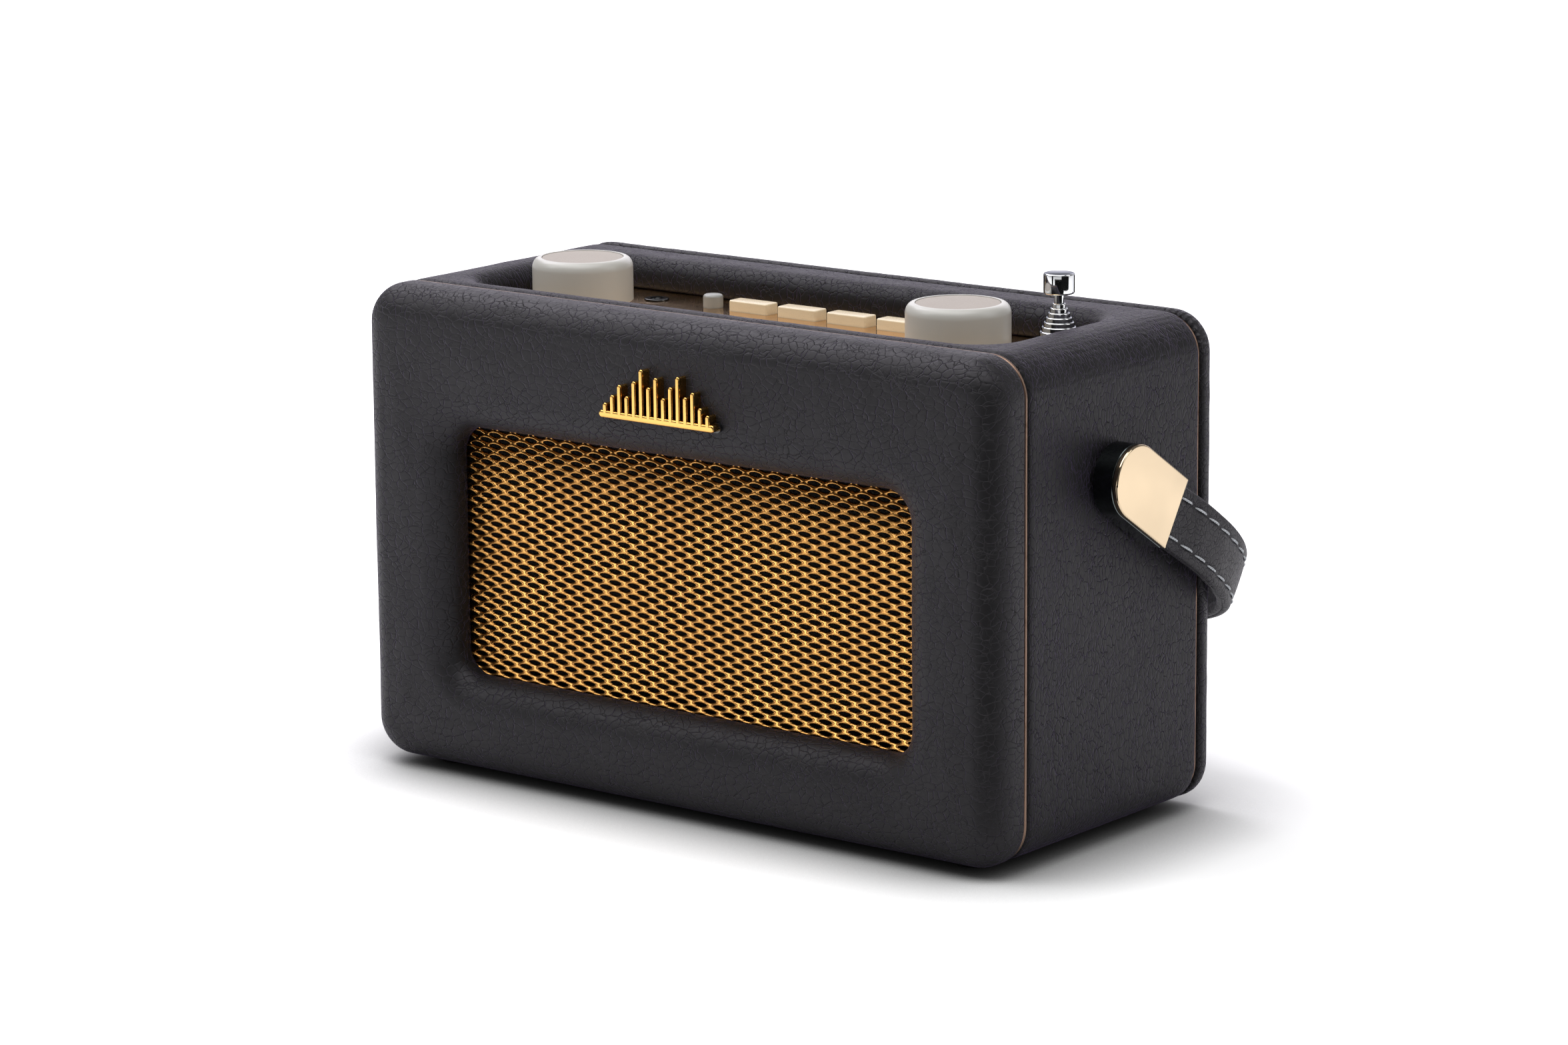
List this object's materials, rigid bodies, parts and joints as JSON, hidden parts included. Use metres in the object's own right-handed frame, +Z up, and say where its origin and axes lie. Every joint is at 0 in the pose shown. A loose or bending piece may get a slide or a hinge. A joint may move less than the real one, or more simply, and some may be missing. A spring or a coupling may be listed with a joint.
{
  "type": "portable radio",
  "caption": "Compact portable radio in a padded black leather case with a gold speaker grille, top knobs and buttons, a stowed telescopic aerial and a swinging leather strap.",
  "frame": {"origin": "bottom centre of the whole part's bounding box with the strap at rest, on the surface under the feet", "axes": "+X to the right seen from the front and along the longest side, +Y to the back, +Z up"},
  "size_m": [0.2206, 0.1348, 0.1391],
  "materials": {
    "case_leather": "soft-black pebbled leather cloth, satin",
    "front_leather": "padded soft-black pebbled leather cloth, satin",
    "strap_leather": "soft-black padded leather with light grey stitching",
    "copper_trim": "copper-coloured satin piping",
    "wood": "plain board, unfinished",
    "rubber": "matt black",
    "grille_gold": "bright gold expanded metal",
    "black_cloth": "matt black dust cloth",
    "speaker_steel": "black painted steel",
    "speaker_paper": "black paper cone",
    "magnet": "ferrite, grey-black",
    "screw_steel": "blackened steel",
    "ornament_gold": "polished gold plate",
    "ornament_dark": "gloss black",
    "plate_brass": "polished copper-gold plate",
    "window": "smoked clear plastic",
    "black_plastic": "black moulding",
    "knob_cream": "satin champagne-cream",
    "knob_cap": "matt greige disc",
    "shaft_steel": "machined",
    "collar_nylon": "natural nylon",
    "encoder": "stamped can",
    "button_ivory": "satin ivory",
    "button_grey": "satin warm grey",
    "switch_black": "key switch moulding",
    "socket_black": "gloss black collar",
    "board_green": "solder-masked board",
    "aerial_chrome": "bright chrome",
    "guide_plastic": "black tube",
    "foot_brass": "machined",
    "bracket_gold": "polished pale gold plate",
    "bracket_steel": "pressed plate",
    "pivot_steel": "machined",
    "tray_plastic": "black moulding",
    "cells": "plain grey sleeve",
    "door_plastic": "black fine-textured moulding"
  },
  "bodies": {
    "case": {"cabinet_shell": "case_leather", "front_panel": "front_leather", "front_bead": "copper_trim", "rear_bead": "copper_trim", "rear_panel": "case_leather", "corner_blocks": "wood", "rubber_feet": "rubber", "baffle_board": "wood", "speaker_grille": "grille_gold", "dust_cloth": "black_cloth", "speaker_basket": "speaker_steel", "speaker_cone": "speaker_paper", "speaker_magnet": "magnet", "case_screws": "screw_steel", "emblem_plate": "ornament_dark", "emblem_ornament": "ornament_gold", "control_plate": "plate_brass", "display_window": "window", "display_module": "black_plastic", "main_board": "board_green", "board_posts": "black_plastic", "volume_encoder": "encoder", "tuning_encoder": "encoder", "tact_switches": "switch_black", "headphone_socket": "socket_black", "aerial_flange": "aerial_chrome", "aerial_guide_tube": "guide_plastic", "pivot_screws": "pivot_steel", "battery_tray": "tray_plastic", "battery_cells": "cells", "rear_sockets": "black_plastic"},
    "volume": {"volume_knob": "knob_cream", "volume_knob_cap": "knob_cap", "volume_shaft": "shaft_steel"},
    "tuning_pusher": {"tuning_push_collar": "collar_nylon"},
    "tuning": {"tuning_knob": "knob_cream", "tuning_knob_cap": "knob_cap", "tuning_shaft": "shaft_steel"},
    "preset_1": {"preset_button_1": "button_ivory"},
    "preset_2": {"preset_button_2": "button_ivory"},
    "preset_3": {"preset_button_3": "button_ivory"},
    "preset_4": {"preset_button_4": "button_ivory"},
    "standby": {"standby_button": "button_grey"},
    "aerial_slider": {"aerial_slip_ring": "foot_brass"},
    "aerial_mast": {"aerial_foot": "foot_brass", "aerial_hinge_pin": "shaft_steel", "mast_section_1": "aerial_chrome"},
    "mast_2": {"mast_section_2": "aerial_chrome"},
    "mast_3": {"mast_section_3": "aerial_chrome"},
    "mast_4": {"mast_section_4": "aerial_chrome"},
    "mast_5": {"mast_section_5": "aerial_chrome"},
    "mast_6": {"mast_section_6": "aerial_chrome"},
    "mast_7": {"mast_section_7": "aerial_chrome"},
    "mast_8": {"mast_section_8": "aerial_chrome", "aerial_cap": "aerial_chrome"},
    "handle": {"strap": "strap_leather", "bracket_cover_right": "bracket_gold", "bracket_cover_left": "bracket_gold", "bracket_bases": "bracket_steel"},
    "door": {"battery_door": "door_plastic"}
  },
  "joints": [
    {"name": "volume_turn", "type": "hinge", "parent": "case", "child": "volume", "pos_m": [-0.065, -0.01767, 0.1195], "axis": [0, 0, 1], "continuous": true},
    {"name": "tuning_press", "type": "slide", "parent": "case", "child": "tuning_pusher", "axis": [0, 0, -1], "range_m": [0, 0.0006], "stiffness_N_per_m": 900, "springref_m": -0.0008},
    {"name": "tuning_turn", "type": "hinge", "parent": "tuning_pusher", "child": "tuning", "pos_m": [0.0568, -0.01767, 0.1195], "axis": [0, 0, 1], "continuous": true},
    {"name": "preset_1_press", "type": "slide", "parent": "case", "child": "preset_1", "axis": [0, 0, -1], "range_m": [0, 0.0008], "stiffness_N_per_m": 600, "springref_m": -0.0004},
    {"name": "preset_2_press", "type": "slide", "parent": "case", "child": "preset_2", "axis": [0, 0, -1], "range_m": [0, 0.0008], "stiffness_N_per_m": 600, "springref_m": -0.0004},
    {"name": "preset_3_press", "type": "slide", "parent": "case", "child": "preset_3", "axis": [0, 0, -1], "range_m": [0, 0.0008], "stiffness_N_per_m": 600, "springref_m": -0.0004},
    {"name": "preset_4_press", "type": "slide", "parent": "case", "child": "preset_4", "axis": [0, 0, -1], "range_m": [0, 0.0008], "stiffness_N_per_m": 600, "springref_m": -0.0004},
    {"name": "standby_press", "type": "slide", "parent": "case", "child": "standby", "axis": [0, 0, -1], "range_m": [0, 0.0008], "stiffness_N_per_m": 600, "springref_m": -0.0004},
    {"name": "aerial_lift", "type": "slide", "parent": "case", "child": "aerial_slider", "axis": [0, 0, 1], "range_m": [0, 0.085]},
    {"name": "aerial_swivel", "type": "hinge", "parent": "aerial_slider", "child": "aerial_mast", "pos_m": [0.076, -0.00167, 0.1195], "axis": [0, 0, 1], "continuous": true},
    {"name": "mast_2_slide", "type": "slide", "parent": "aerial_mast", "child": "mast_2", "axis": [0, 0, 1], "range_m": [0, 0.078]},
    {"name": "mast_3_slide", "type": "slide", "parent": "mast_2", "child": "mast_3", "axis": [0, 0, 1], "range_m": [0, 0.078]},
    {"name": "mast_4_slide", "type": "slide", "parent": "mast_3", "child": "mast_4", "axis": [0, 0, 1], "range_m": [0, 0.078]},
    {"name": "mast_5_slide", "type": "slide", "parent": "mast_4", "child": "mast_5", "axis": [0, 0, 1], "range_m": [0, 0.078]},
    {"name": "mast_6_slide", "type": "slide", "parent": "mast_5", "child": "mast_6", "axis": [0, 0, 1], "range_m": [0, 0.078]},
    {"name": "mast_7_slide", "type": "slide", "parent": "mast_6", "child": "mast_7", "axis": [0, 0, 1], "range_m": [0, 0.078]},
    {"name": "mast_8_slide", "type": "slide", "parent": "mast_7", "child": "mast_8", "axis": [0, 0, 1], "range_m": [0, 0.078]},
    {"name": "handle_swing", "type": "hinge", "parent": "case", "child": "handle", "pos_m": [0, -0.01616, 0.0927], "axis": [1, 0, 0], "range_deg": [0, 238]},
    {"name": "battery_door_hinge", "type": "hinge", "parent": "case", "child": "door", "pos_m": [0, 0.02769, 0.012], "axis": [-1, 0, 0], "range_deg": [0, 95]}
  ]
}
